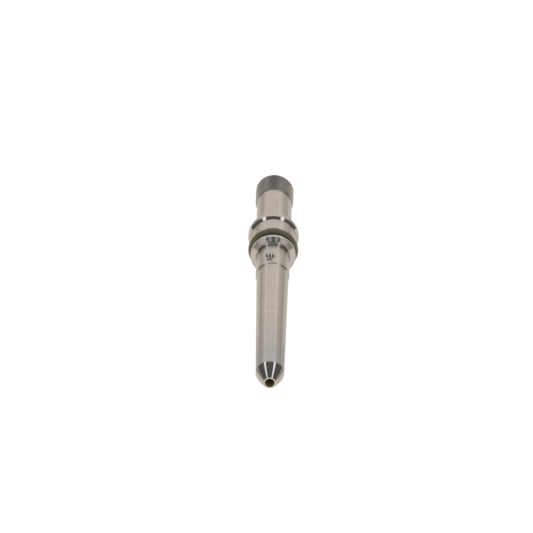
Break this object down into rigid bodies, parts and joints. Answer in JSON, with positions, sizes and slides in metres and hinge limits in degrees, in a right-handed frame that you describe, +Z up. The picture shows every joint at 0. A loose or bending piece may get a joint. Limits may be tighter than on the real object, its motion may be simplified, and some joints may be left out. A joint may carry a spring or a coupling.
{
  "type": "fuel injector inlet connector",
  "caption": "Steel high-pressure connector that feeds a common-rail fuel injector, with an inlet thread, collar, O-ring, locating ball, edge filter and conical nose.",
  "frame": {"origin": "on the connector's axis, half way between the inlet face and the nose face", "axes": "+Y along the axis from the nose to the threaded inlet, +Z up, with the locating ball near the top, and +X to the right seen from the nose"},
  "size_m": [0.0184, 0.1316, 0.0184],
  "materials": {
    "turned_steel": "fine turned, satin to bright",
    "seal_rubber": "matte, moulded, olive green",
    "ball_steel": "polished",
    "filter_steel": "ground"
  },
  "bodies": {
    "root": {"connector_body": "turned_steel", "o_ring": "seal_rubber", "locating_ball": "ball_steel", "edge_filter": "filter_steel"}
  },
  "joints": []
}
